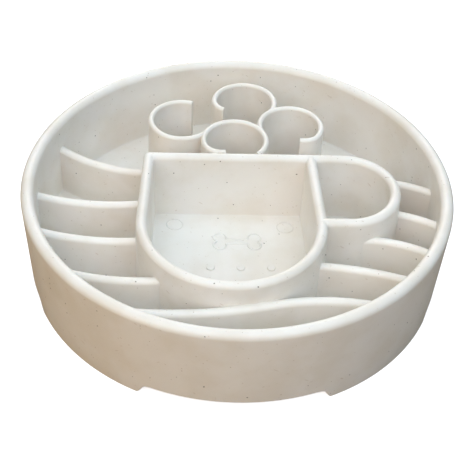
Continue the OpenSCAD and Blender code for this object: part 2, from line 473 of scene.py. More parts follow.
@dataclass(frozen=True)
class StraightNeighbour(Neighbour):
    """Straight wall from p to q, which is far away for places past its ends."""
    wall: Section
    p: np.ndarray
    q: np.ndarray
    far: float = 99.0

    def gap(self, xyz: np.ndarray) -> np.ndarray:
        """Distance from the wall's middle line less half its thickness at that height.

        Args:
            xyz: points of the surface.

        Returns:
            The distance for each point.
        """
        run = self.q - self.p
        length = float(np.hypot(*run))
        run = run / length
        x, y = xyz[..., 0] - self.p[0], xyz[..., 1] - self.p[1]
        along = x * run[0] + y * run[1]
        away = np.abs(x * run[1] - y * run[0]) - self.wall.wide(xyz[..., 2])
        return np.where((along < 0) | (along > length), self.far, away)


# Sweeps and lathes

class End(Enum):
    """How a wall ends."""
    HIDDEN = "flat, inside a neighbour"
    FREE = "cut off square, with slightly rounded edges"


@dataclass
class Sweep:
    """A section carried along a plan path, with flares at its neighbours."""
    path: Path
    section: Section
    neighbours: list[Neighbour] = field(default_factory=list)
    start: End = End.HIDDEN
    edge: float = 0.4
    edge_steps: int = 5

    def flared(self, xyz: np.ndarray, out: np.ndarray) -> np.ndarray:
        """Points moved out along their normals by the largest flare of any neighbour.

        Args:
            xyz: points of the surface.
            out: their normals.

        Returns:
            The moved points.
        """
        side = np.zeros(xyz.shape[:-1])
        rise = np.zeros(xyz.shape[:-1])
        for n in self.neighbours:
            w = n.flare(xyz)
            side = np.maximum(side, w)
            if n.meeting is Meeting.TALL:
                rise = np.maximum(rise, w)
        return xyz + out * np.stack([side, side, rise], -1)

    def rings(self, at: slice | list[int], shift: np.ndarray, inset: np.ndarray) -> np.ndarray:
        """Outlines set up across the path, flared at the neighbours.

        Args:
            at: which steps of the path.
            shift: distance of each ring ahead of its step.
            inset: how far each ring's outline is drawn in.

        Returns:
            Points of each ring, with two more below the floor at the feet.
        """
        uz, n = self.section.outline()
        uz = uz[None] - inset[:, None, None] * n[None]
        left, right = self.path.left[at][:, None], self.path.right[at][:, None]
        u, across = uz[..., :1], n[None, :, :1]
        middle = (self.path.points[at] + shift[:, None] * self.path.ahead[at])[:, None]
        flat = middle + np.where(u > 0, left * u, -right * u)
        z = np.broadcast_to(uz[..., 1:], flat.shape[:2] + (1,))
        out_z = np.broadcast_to(n[None, :, 1:], z.shape)
        out = np.concatenate([np.where(across > 0, left * across, -right * across), out_z], -1)
        xyz = self.flared(np.concatenate([flat, z], -1), out)
        feet = xyz[:, [-1, 0]].copy()
        feet[..., 2] = self.section.base - self.section.sink
        return np.concatenate([xyz, feet], 1)

    def shell(self) -> Shell:
        """The closed surface of the sweep.

        At a free end, rings are drawn in and moved on along a quarter circle, and the last one is
        filled flat.

        Returns:
            The shell.
        """
        steps = len(self.path.points)
        rings = self.rings(slice(None), np.zeros(steps), np.zeros(steps))
        if self.start is End.FREE:
            a = np.linspace(math.pi / 2, 0, self.edge_steps + 1)[:-1]
            tip = [0] * len(a)
            first = self.rings(tip, -self.edge * np.sin(a), self.edge * (1 - np.cos(a)))
            rings = np.concatenate([first, rings])
        count, m = rings.shape[:2]
        k = m - 2
        j = np.arange(k // 2 - 1)
        rungs = np.vstack([np.stack([j, j + 1, k - 2 - j, k - 1 - j], 1), [[k, k + 1, 0, k - 1]]])
        crown = np.array([[k // 2 - 1, k // 2, k // 2 + 1]])
        last = (count - 1) * m
        return Shell(rings.reshape(-1, 3), np.vstack([grid(count, m), rungs, rungs + last]),
                     np.vstack([crown, crown + last]))


def turned(angles: np.ndarray, r: np.ndarray, z: np.ndarray) -> np.ndarray:
    """Points about the bowl's axis.

    Args:
        angles: angle of each row, in degrees.
        r: distances from the axis, in rows.
        z: heights, in rows.

    Returns:
        The points, in rows.
    """
    a = np.radians(angles)[:, None]
    return np.stack(np.broadcast_arrays(r * np.cos(a), r * np.sin(a), z), -1)


@dataclass
class Lathe:
    """A profile from a lower to an upper point on an upright axis, turned about it."""
    profile: np.ndarray
    centre: tuple[float, float] = (0.0, 0.0)
    steps: int = 48

    def shell(self) -> Shell:
        """The closed surface, with one vertex at each pole.

        Returns:
            The shell.
        """
        rz = np.asarray(self.profile, float)
        body = rz[1:-1]
        m = len(body)
        angles = np.linspace(0, 360, self.steps, endpoint=False)
        rows = turned(angles, body[None, :, 0], body[None, :, 1])
        poles = np.array([[0, 0, rz[0, 1]], [0, 0, rz[-1, 1]]])
        verts = np.vstack([rows.reshape(-1, 3), poles]) + [*self.centre, 0]
        s = np.arange(self.steps)
        t = (s + 1) % self.steps
        n = np.full(self.steps, self.steps * m)
        low = np.stack([n, t * m, s * m], 1)
        high = np.stack([n + 1, s * m + m - 1, t * m + m - 1], 1)
        return Shell(verts, grid(self.steps, m, True, False), np.vstack([low, high]))


def bend(c: tuple[float, float], r: float, start: float, end: float, steps: int) -> np.ndarray:
    """Points of an arc in a profile.

    Args:
        c: the arc's middle.
        r: its radius.
        start: angle of its start, in degrees.
        end: angle of its end, in degrees.
        steps: number of its chords.

    Returns:
        The points.
    """
    return np.asarray(c) + r * ways(np.radians(np.linspace(start, end, steps + 1)))


# Finish

@dataclass(frozen=True)
class Patches:
    """Soft patches: a noise's features per metre, its finer layers and their weight, and the range shown."""
    scale: float
    detail: float
    rough: float
    low: float
    high: float


@dataclass(frozen=True)
class Specks:
    """Scattered specks: cells per metre, largest radius as a share of a cell, and strength."""
    scale: float
    most: float
    strength: float


@dataclass(frozen=True)
class Relief:
    """Fine relief: a noise's features per metre, its finer layers, its strength, and its depth in metres."""
    scale: float
    detail: float
    strength: float
    depth: float


class NodeKit:
    """Helper that adds nodes to a material's tree, all on Object coordinates.

    In a mask of specks, a noise warp_scale times as fine as the cells shifts the places by up to
    warp_share of a cell, rarity is the power that makes most specks tiny, and soft_edge is the
    width of a speck's edge as a share of a cell.
    """
    warp_scale: float = 2.2
    warp_share: float = 0.22
    rarity: float = 2.8
    soft_edge: float = 0.04

    def __init__(self, tree: bpy.types.NodeTree) -> None:
        """Empties the tree, keeps it and makes the coordinates.

        Args:
            tree: the material's tree.
        """
        self.tree = tree
        tree.nodes.clear()
        self.where = self.node("TexCoord").outputs["Object"]

    def link(self, value: object, socket: bpy.types.NodeSocket) -> None:
        """Sets a socket to a number or a colour, or links an output to it.

        Args:
            value: the number, the three values or the output.
            socket: the input.
        """
        if isinstance(value, bpy.types.NodeSocket):
            self.tree.links.new(value, socket)
        else:
            socket.default_value = (*value, 1.0) if socket.type == "RGBA" else value

    def node(self, kind: str, sockets: dict[str | int, object] | None = None,
             **settings: str) -> bpy.types.Node:
        """A new node.

        Args:
            kind: its kind.
            sockets: what goes to its inputs, by their names or numbers.
            settings: its other settings.

        Returns:
            The node.
        """
        node = self.tree.nodes.new("ShaderNode" + kind)
        for name, value in settings.items():
            setattr(node, name, value)
        for key, value in (sockets or {}).items():
            self.link(value, node.inputs[key])
        return node

    def noise(self, scale: float, detail: float, rough: float = 0.5) -> bpy.types.NodeSocket:
        """A noise's value, from its features per metre, its finer layers and their weight."""
        sockets = {"Vector": self.where, "Scale": scale, "Detail": detail, "Roughness": rough}
        return self.node("TexNoise", sockets).outputs["Fac"]

    def ramp(self, value: bpy.types.NodeSocket, low: float, high: float, to_low: float = 0.0,
             to_high: float = 1.0) -> bpy.types.NodeSocket:
        """A value mapped smoothly from the range low to high to the range to_low to to_high."""
        sockets = {"Value": value, "From Min": low, "From Max": high, "To Min": to_low, "To Max": to_high}
        return self.node("MapRange", sockets, interpolation_type="SMOOTHSTEP").outputs["Result"]

    def maths(self, kind: str, a: object, b: object) -> bpy.types.NodeSocket:
        """Two values, or a value and a number, joined by a maths operation."""
        return self.node("Math", {0: a, 1: b}, operation=kind).outputs[0]

    def mix(self, a: object, b: object, share: bpy.types.NodeSocket) -> bpy.types.NodeSocket:
        """Colour a turned towards colour b by a share."""
        return self.node("Mix", {0: share, 6: a, 7: b}, data_type="RGBA").outputs[2]

    def patches(self, p: Patches, to_low: float = 0.0, to_high: float = 1.0) -> bpy.types.NodeSocket:
        """Soft patches, which go from to_low to to_high."""
        return self.ramp(self.noise(p.scale, p.detail, p.rough), p.low, p.high, to_low, to_high)

    def mask(self, specks: Specks, stretch: tuple[float, float, float],
             turn: tuple[float, float, float]) -> bpy.types.NodeSocket:
        """Mask of small uneven balls, or fibres, about scattered points.

        Each cell's own random value, raised to a power, gives the ball's radius, so that most are
        tiny and few are large.

        Args:
            specks: their sizes.
            stretch: scale of the cells along each axis, below one for fibres along it.
            turn: turn of those axes, in radians.

        Returns:
            The mask.
        """
        scale = specks.scale
        lie = {"Vector": self.where, "Rotation": turn, "Scale": [1 / s for s in stretch]}
        placed = self.node("Mapping", lie, vector_type="TEXTURE")
        warp = self.node("TexNoise", {"Vector": placed.outputs[0], "Scale": scale * self.warp_scale})
        shift = self.node("VectorMath", {0: warp.outputs["Color"], "Scale": self.warp_share / scale},
                          operation="SCALE")
        moved = self.node("VectorMath", {0: placed.outputs[0], 1: shift.outputs[0]}, operation="ADD")
        cell = self.node("TexVoronoi", {"Vector": moved.outputs[0], "Scale": scale})
        tint = self.node("SeparateColor", {"Color": cell.outputs["Color"]})
        rare = self.maths("POWER", tint.outputs["Red"], self.rarity)
        size = self.ramp(rare, 0.0, 1.0, 0.0, specks.most)
        return self.ramp(self.maths("SUBTRACT", size, cell.outputs["Distance"]), 0.0, self.soft_edge)

    def strew(self, colour: bpy.types.NodeSocket, over: tuple[float, float, float], specks: Specks,
              stretch: tuple[float, float, float] = (1.0, 1.0, 1.0),
              turn: tuple[float, float, float] = (0.0, 0.0, 0.0)) -> bpy.types.NodeSocket:
        """A colour with specks of another one over it, which stretch and turn make into fibres."""
        share = self.maths("MULTIPLY", self.mask(specks, stretch, turn), specks.strength)
        return self.mix(colour, over, share)

    def bump(self, relief: Relief, below: bpy.types.NodeSocket | None = None) -> bpy.types.NodeSocket:
        """A normal that follows a fine relief, over an earlier normal if there is one.

        Args:
            relief: the relief.
            below: the earlier normal.

        Returns:
            The normal.
        """
        height = self.noise(relief.scale, relief.detail)
        sockets = {"Height": height, "Strength": relief.strength, "Distance": relief.depth}
        if below is not None:
            sockets["Normal"] = below
        return self.node("Bump", sockets).outputs["Normal"]

    def finish(self, unseen: bpy.types.NodeSocket, seen: bpy.types.NodeSocket, output: str) -> None:
        """Ends the tree with one shader for camera rays and another one for all others.

        Args:
            unseen: the shader for the other rays.
            seen: the shader for camera rays.
            output: kind of the last node.
        """
        camera = self.node("LightPath").outputs["Is Camera Ray"]
        pick = self.node("MixShader", {0: camera, 1: unseen, 2: seen})
        self.node(output, {"Surface": pick.outputs[0]})


@dataclass(frozen=True)
class SpeckledPlastic:
    """Finish of off-white moulded plastic with plant-fibre specks.

    The colour is a cream base with soft cloudy patches, sparse dark specks, paler tan flecks and
    faint short fibres: dark, tan and straw are the colours of these three. The roughness varies in
    soft patches, and a fine grain and a slow waviness are carried in the bump.
    """
    name: str = SLOT
    cream: tuple[float, float, float] = (0.86, 0.826, 0.776)
    cloud: tuple[float, float, float] = (0.81, 0.762, 0.69)
    dark: tuple[float, float, float] = (0.075, 0.055, 0.04)
    tan: tuple[float, float, float] = (0.42, 0.33, 0.235)
    straw: tuple[float, float, float] = (0.56, 0.47, 0.37)
    clouds: Patches = Patches(38.0, 4.0, 0.55, 0.38, 0.66)
    haze: Patches = Patches(520.0, 3.0, 0.6, 0.60, 0.78)
    haze_strength: float = 0.35
    hazy_places: Patches = Patches(150.0, 2.0, 0.5, 0.5, 0.7)
    fibres: Specks = Specks(330.0, 0.12, 0.45)
    fibre_lies: tuple[tuple[tuple[float, float, float], tuple[float, float, float]], ...] = (
        ((1.0, 0.16, 1.0), (0.5, 0.2, 0.9)),
        ((0.16, 1.0, 1.0), (0.3, 0.6, 0.2)),
        ((1.0, 1.0, 0.18), (0.7, 0.9, 0.4)),
    )
    flecks: Specks = Specks(420.0, 0.14, 0.6)
    specks: Specks = Specks(250.0, 0.115, 0.8)
    roughness: tuple[float, float] = (0.30, 0.44)
    dull_places: Patches = Patches(90.0, 3.0, 0.5, 0.3, 0.7)
    wave: Relief = Relief(28.0, 1.0, 0.35, 0.0006)
    grain: Relief = Relief(1900.0, 2.0, 0.1, 0.0002)
    bending: float = 1.49
    depth_share: float = 0.12
    depth: float = 0.002
    depth_tint: tuple[float, float, float] = (1.0, 0.7, 0.45)

    def colour(self, kit: NodeKit) -> bpy.types.NodeSocket:
        """The base colour.

        Args:
            kit: the material's nodes.

        Returns:
            The colour's output.
        """
        colour = kit.mix(self.cream, self.cloud, kit.patches(self.clouds))
        haze = kit.patches(self.haze, 0.0, self.haze_strength)
        colour = kit.mix(colour, self.tan, kit.maths("MULTIPLY", haze, kit.patches(self.hazy_places)))
        for stretch, turn in self.fibre_lies:
            colour = kit.strew(colour, self.straw, self.fibres, stretch, turn)
        return kit.strew(kit.strew(colour, self.tan, self.flecks), self.dark, self.specks)

    def build(self) -> bpy.types.Material:
        """The material.

        Returns:
            The material, made of nodes.
        """
        mat = bpy.data.materials.new(self.name)
        mat.use_nodes = True
        kit = NodeKit(mat.node_tree)
        shader = kit.node("BsdfPrincipled", {
            "Base Color": self.colour(kit), "Roughness": kit.patches(self.dull_places, *self.roughness),
            "Normal": kit.bump(self.grain, kit.bump(self.wave)), "IOR": self.bending,
            "Subsurface Weight": self.depth_share, "Subsurface Radius": self.depth_tint,
            "Subsurface Scale": self.depth})
        kit.node("OutputMaterial", {"Surface": shader.outputs["BSDF"]})
        return mat


# Pieces

def make_piece(name: str, shells: list[Shell], material: bpy.types.Material, node: str) -> bpy.types.Object:
    """Adds a closed piece that stands for a CAD node.

    Args:
        name: the piece's name.
        shells: its surfaces in millimetres.
        material: its finish.
        node: the CAD node that it replaces.

    Returns:
        The piece's object, riding on the bowl.
    """
    shell = Shell.together(shells)
    mesh = bpy.data.meshes.new(name)
    mesh.from_pydata((shell.verts * MM).tolist(), [], shell.quads.tolist() + shell.tris.tolist())
    work = bmesh.new()
    work.from_mesh(mesh)
    bmesh.ops.recalc_face_normals(work, faces=work.faces)
    work.to_mesh(mesh)
    work.free()
    mesh.polygons.foreach_set("use_smooth", np.ones(len(mesh.polygons), bool))
    mesh.set_sharp_from_angle(angle=SHARP_TURN)
    mesh.materials.append(material)
    obj = bpy.data.objects.new(name, mesh)
    bpy.context.scene.collection.objects.link(obj)
    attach(obj, "root")
    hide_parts(node)
    LOG.info("piece %s: %d vertices, %d faces", name, len(mesh.vertices), len(mesh.polygons))
    return obj


@dataclass
class OuterRing:
    """The bowl's outer wall with its rounded rim, and the four feet, which carry on flush below it.

    The ring has a groove that holds the floor's edge, and its cover laps over the floor's faces.
    The lap is how far the feet stand proud of the wall, so that no two faces coincide. The lower
    edge has the radius edge in a gap and crisp on a foot, and it changes over the crisp turn. The
    foot tip is a foot's height where it starts, and its edge share is the edge's largest share of
    its height. The support is how far the next row of points lies from an edge.
    """
    material: bpy.types.Material
    inner_fillet: float = 0.8
    under_fillet: float = 1.0
    groove: float = 0.2
    cover: float = 0.5
    edge: float = 0.7
    crisp: float = 0.03
    crisp_turn: float = 1.2
    soft: float = 1.4
    lap: float = 0.006
    foot_rise: float = 0.4
    foot_tip: float = 0.06
    edge_share: float = 0.45
    support: float = 0.05
    plain_turn: float = 0.75
    clear_turn: float = 0.3
    end_steps: int = 48
    rim_steps: int = 32
    outer_steps: int = 12
    inner_steps: int = 9
    edge_steps: int = 6

    @property
    def gap_half(self) -> float:
        """Half the turn of a gap at its upper edge, in degrees."""
        return math.degrees(math.asin((BOWL.gap_w / 2 - BOWL.ramp) / float(BOWL.outer(BOWL.foot_h))))

    @property
    def ramp_turn(self) -> float:
        """Turn over which a foot's end slopes down, in degrees, drawn out because it is rounded."""
        return self.soft * (math.degrees(math.asin(BOWL.gap_w / 2 / float(BOWL.outer(0)))) - self.gap_half)

    def quarter(self) -> np.ndarray:
        """Turns in degrees from the middle of a gap to the next one, close together at a foot's ends.

        The close stretch starts one ramp before the foot's end and ends one ramp after its slope.

        Returns:
            The turns, without the last one.
        """
        end = self.gap_half + self.ramp_turn * np.linspace(-1, 2, self.end_steps + 1)
        base = np.arange(0, 45, self.plain_turn)
        base = base[(base < end[0] - self.clear_turn) | (base > end[-1] + self.clear_turn)]
        run = np.sort(np.concatenate([base, end]))
        return np.concatenate([run, 90 - run[:0:-1]])

    def inside(self) -> np.ndarray:
        """The rest of the wall's profile, which is the same all round.

        It leads over the round rim, down the inner face and its fillet, round the groove and down
        the fillet under the floor.

        Returns:
            Its points.
        """
        b, f, u = BOWL, self.inner_fillet, self.under_fillet
        low = float(b.inner(b.floor))
        top, under = b.floor - self.cover, b.floor - b.floor_t
        z = np.linspace(b.rim_z, b.floor + f, self.inner_steps + 1)[1:-1]
        fillet = bend((float(b.inner(b.floor + f)) - f, b.floor + f), f, 0, -90, self.edge_steps)
        groove = [[fillet[-1, 0], top], [low + self.groove, top],
                  [low + self.groove, under + self.cover], [low - u, under + self.cover]]
        return np.vstack([bend((b.mid_r, b.rim_z), b.rim, 0, 180, self.rim_steps),
                          np.stack([b.inner(z), z], 1), fillet, groove,
                          bend((low - u, under - u), u, 90, 0, self.edge_steps)])

    def ring(self) -> Shell:
        """The wall: outer face, round rim, inner face, fillet to the floor, skirt and lower edge.

        The lower edge is rounded in the gaps between the feet and crisp where it stands on one.

        Returns:
            The shell.
        """
        b = BOWL
        q = self.quarter()
        away = np.tile(np.minimum(q, 90 - q), 4)
        angles = np.concatenate([q + 90 * k for k in range(4)]) + b.foot_turn
        e = self.crisp + (self.edge - self.crisp) * smooth((self.gap_half - away) / self.crisp_turn)[:, None]
        low_z = b.foot_h + e
        rise = np.linspace(0, b.rim_z - b.foot_h - self.edge, self.outer_steps + 1)[1:-1]
        face_z = low_z + np.concatenate([[self.support], rise])[None]
        t = np.radians(np.linspace(180, 360, 2 * self.edge_steps + 1))[None]
        skirt, lip = t[:, :self.edge_steps + 1], t[:, self.edge_steps:]
        inside = self.inside()
        fixed = np.broadcast_to(inside, (len(angles), *inside.shape))
        r = np.hstack([b.outer(face_z), fixed[..., 0], float(b.inner(b.floor)) + e + e * np.cos(skirt),
                       b.outer(low_z) - e + e * np.cos(lip)])
        z = np.hstack([face_z, fixed[..., 1], low_z + e * np.sin(skirt), low_z + e * np.sin(lip)])
        return Shell(turned(angles, r, z).reshape(-1, 3), grid(*r.shape, True))

    def foot(self, turn: float) -> Shell:
        """One foot, flush with the wall above it.

        Its lower edge drops from the wall to the resting plane by a smooth step over the ramp, and
        its lower edges are rounded as far as its height allows.

        Args:
            turn: turn of the gap before it, in degrees.

        Returns:
            The shell.
        """
        b = BOWL
        q = self.quarter()
        away = np.minimum(q, 90 - q)
        keep = away >= self.gap_half - TINY
        drop = smooth((away[keep] - self.gap_half) / self.ramp_turn)
        low = ((b.foot_h - self.foot_tip) * (1 - drop))[:, None]
        e = np.minimum(self.edge, self.edge_share * (b.foot_h - low))
        t = np.linspace(0, math.pi / 2, self.edge_steps + 1)[None]
        edge_z = low + e * (1 - np.cos(t))
        top = np.full_like(low, b.foot_h + self.foot_rise)
        near = top - self.support
        inner = np.full_like(low, float(b.inner(b.floor)))
        outer_r = np.hstack([b.outer(low + e) - e * (1 - np.sin(t)), b.outer(near), b.outer(top)]) + self.lap
        r = np.hstack([outer_r, inner, inner, (inner + e * (1 - np.sin(t)))[:, ::-1]])
        z = np.hstack([edge_z, near, top, top, near, edge_z[:, ::-1]])
        xyz = turned(q[keep] + turn, r, z)
        count, m = xyz.shape[:2]
        j = np.arange(1, m - 1)
        fan = np.stack([np.zeros_like(j), j, j + 1], 1)
        return Shell(xyz.reshape(-1, 3), grid(count, m), np.vstack([fan, fan + (count - 1) * m]))

    def build(self) -> list[bpy.types.Object]:
        """The ring and the feet."""
        feet = [self.foot(BOWL.foot_turn + 90 * k) for k in range(4)]
        return [make_piece("outer_wall_ring", [self.ring()], self.material, "outer_wall"),
                make_piece("moulded_feet", feet, self.material, "feet")]


@dataclass
class FloorPlate:
    """The floor with its moulding marks and a plain raised bone outline, and the three nubs on it.

    The bone has two round knobs at each end, whose middles lie bone_reach and knob_y from its own
    middle, and two straight bars between them.
    """
    material: bpy.types.Material
    edge_reach: float = 0.1
    radial_steps: int = 23
    round_steps: int = 240
    nub_r: float = 2.2
    nub_h: float = 0.8
    nub_edge: float = 0.5
    edge_steps: int = 6
    nub_gap: float = 15.5
    row_share: float = 0.126
    shift_share: float = 0.0565
    pins: tuple[tuple[float, float], ...] = ((-31.7, 10.8), (26.6, 9.5))
    pin_r: float = 4.2
    pin_lap: float = 6.0
    pin_line: Section = Section.mark(0.25, 0.28, 0.08)
    bone_c: tuple[float, float] = (1.0, -2.0)
    bone_reach: float = 9.0
    knob_y: float = 2.9
    knob_r: float = 3.3
    bar_y: float = 1.7
    bone_line: Section = Section.mark(0.4, 0.45, 0.15)

    def plate(self) -> Shell:
        """The plate, from its lower middle round its edge to its upper middle.

        Returns:
            The shell.
        """
        r = np.linspace(0, float(BOWL.inner(BOWL.floor)) + self.edge_reach, self.radial_steps + 1)
        low = np.stack([r, np.full(len(r), BOWL.floor - BOWL.floor_t)], 1)
        top = np.stack([r[::-1], np.full(len(r), BOWL.floor)], 1)
        return Lathe(np.vstack([low, top]), steps=self.round_steps).shell()

    def nub(self, x: float, y: float) -> Shell:
        """A low round nub with a rounded edge.

        Args:
            x: its middle across.
            y: its middle along.

        Returns:
            The shell.
        """
        low, top, r, e = BOWL.floor - MARK_SINK, BOWL.floor + self.nub_h, self.nub_r, self.nub_edge
        edge = bend((r - e, top - e), e, 0, 90, self.edge_steps)
        return Lathe(np.vstack([[[0, low], [r, low]], edge, [[0, top]]]), (x, y)).shell()

    def bone(self) -> list[Shell]:
        """Plain raised line in the outline of a bone: two knobs at each end and two straight bars.

        Each knob's arc runs from the notch between both knobs to the waist, where a bar starts.

        Returns:
            The shells of its stretches.
        """
        c, knob = np.array(self.bone_c), np.array([self.bone_reach, self.knob_y])
        drop = self.knob_y - self.bar_y
        notch = math.degrees(math.asin(-self.knob_y / self.knob_r))
        waist = 180 + math.degrees(math.asin(drop / self.knob_r))
        path = Path.arc((0, 0), self.knob_r, notch, waist)
        shells = []
        for mirror in np.array([[1, 1], [-1, 1], [1, -1], [-1, -1]]):
            way = path.ahead * mirror
            spots = c + mirror * (path.points + knob)
            stretch = Path.plain(spots, np.arctan2(way[:, 1], way[:, 0]))
            shells.append(Sweep(stretch, self.bone_line).shell())
        bar = np.array([self.bone_reach - math.sqrt(self.knob_r ** 2 - drop ** 2), self.bar_y])
        for side in (-1, 1):
            stretch = Path.line(c + bar * [-1, side], c + bar * [1, side])
            shells.append(Sweep(stretch, self.bone_line).shell())
        return shells

    def build(self) -> list[bpy.types.Object]:
        """The plate with its marks, and the nubs.

        Returns:
            The two pieces.
        """
        row = MUG.end_c[1] + self.row_share * float(np.hypot(*(MUG.back_corner(1) - MUG.end_corner(1))))
        middle = self.shift_share * MUG.end_r
        pins = [Sweep(Path.arc(c, self.pin_r, start, start + 180 + self.pin_lap), self.pin_line).shell()
                for c in self.pins for start in (0, 180)]
        nubs = [self.nub(middle + k * self.nub_gap, row) for k in (-1, 0, 1)]
        return [make_piece("floor_plate", [self.plate(), *pins, *self.bone()], self.material, "bowl_floor"),
                make_piece("floor_nubs_domes", nubs, self.material, "floor_nubs")]


@dataclass
class MugCompartment:
    """The mug's straight walls, its round end and its handle.

    As a neighbour, the back reaches back_past along the handle, and the right wall reaches
    side_share of its length to both sides of its lower corner.
    """
    material: bpy.types.Material
    fillet: float = 0.4
    corner_outer: float = 3.0
    corner_inner: float = 0.45
    back_past: float = 9.0
    side_share: float = 0.8

    def walls(self) -> list[Shell]:
        """The left wall and the back, which turn the corner in one piece, and the right wall.

        Returns:
            The two shells.
        """
        left, right = MUG.back_corner(-1), MUG.back_corner(1)
        handle = np.array([MUG.handle_x, MUG.back])
        back = StraightNeighbour(self.fillet, Meeting.LEVEL, MUG_WALL, left, handle + [self.back_past, 0])
        turned_wall = Path.corner(MUG.end_corner(-1), left, handle, MUG.half, self.corner_outer,
                                  self.corner_inner)
        return [Sweep(turned_wall, MUG_WALL).shell(),
                Sweep(Path.line(MUG.end_corner(1), right), MUG_WALL, [back]).shell()]

    def handle(self) -> Shell:
        """The handle: a straight run from the back, its bend, and a run to the right wall's lower end.

        Returns:
            The shell.
        """
        c, r = MUG.handle_c, MUG.handle_r
        corner = MUG.end_corner(1)
        reach = self.side_share * (MUG.back_corner(1) - corner)
        side = StraightNeighbour(self.fillet, Meeting.LEVEL, MUG_WALL, corner - reach, corner + reach)
        upper = Path.line([MUG.handle_x, MUG.back], [c[0], MUG.back])
        lower = Path.line([c[0], c[1] - r], [corner[0], c[1] - r])
        return Sweep(upper.then(Path.arc(c, r, 90, -90)).then(lower), MUG_WALL, [side]).shell()

    def build(self) -> list[bpy.types.Object]:
        """The walls, the round end and the handle.

        Returns:
            The three pieces.
        """
        splay = math.degrees(MUG.splay)
        end = Sweep(Path.arc(MUG.end_c, MUG.end_r, 180 - splay, 360 + splay), MUG_WALL)
        return [make_piece("mug_straight_walls", self.walls(), self.material, "mug_wall"),
                make_piece("mug_round_wall", [end.shell()], self.material, "mug_round_end"),
                make_piece("mug_handle_wall", [self.handle()], self.material, "mug_handle")]


class Side(Enum):
    """Where a ridge starts."""
    CORNER = "at the mug's back left corner"
    MUG_SIDE = "on the mug's straight left side"
    MUG_END = "on the mug's round end"
    HANDLE = "on the handle's bend"


@dataclass(frozen=True)
class RidgePlan:
    """One ridge: where it starts, its share or turn there, its turn on the ring and how far it bends."""
    node: str
    side: Side
    start: float
    end_turn: float
    bend_share: float
    fillet: float = 0.3

    def hub(self) -> tuple[np.ndarray, float]:
        """Middle and radius of the round wall that the ridge starts on."""
        return (MUG.end_c, MUG.end_r) if self.side is Side.MUG_END else (MUG.handle_c, MUG.handle_r)

    def first(self) -> np.ndarray:
        """Start of the ridge, on the middle of the wall that it leaves.

        Returns:
            The place in plan.
        """
        if self.side in (Side.CORNER, Side.MUG_SIDE):
            return MUG.end_corner(-1) + self.start * (MUG.back_corner(-1) - MUG.end_corner(-1))
        c, r = self.hub()
        return c + r * plan(2 * math.pi * self.start)

    def path(self) -> Path:
        """Arc through both ends whose middle lies a share of their distance off the straight line.

        Returns:
            The path, from the ring to the mug.
        """
        p = self.first()
        q = BOWL.mid_r * plan(2 * math.pi * self.end_turn)
        chord = float(np.hypot(*(q - p)))
        r = chord * (self.bend_share / 2 + 1 / (8 * self.bend_share))
        off = np.array([p[1] - q[1], q[0] - p[0]]) / chord
        c = (p + q) / 2 - (r - self.bend_share * chord) * off
        start = math.degrees(math.atan2(q[1] - c[1], q[0] - c[0]))
        return Path.arc(c, r, start, start + math.degrees(2 * math.asin(chord / (2 * r))))

    def neighbours(self) -> list[Neighbour]:
        """Faces that the ridge runs into.

        Returns:
            The neighbours.
        """
        args = (self.fillet, Meeting.TALL)
        if self.side is Side.MUG_SIDE:
            near = StraightNeighbour(*args, MUG_WALL, MUG.end_corner(-1), MUG.back_corner(-1))
        elif self.side is Side.CORNER:
            near = RoundNeighbour(*args, MUG_WALL, MUG.back_corner(-1), 0.0)
        else:
            near = RoundNeighbour(*args, MUG_WALL, *self.hub())
        return [RingNeighbour(*args), near]


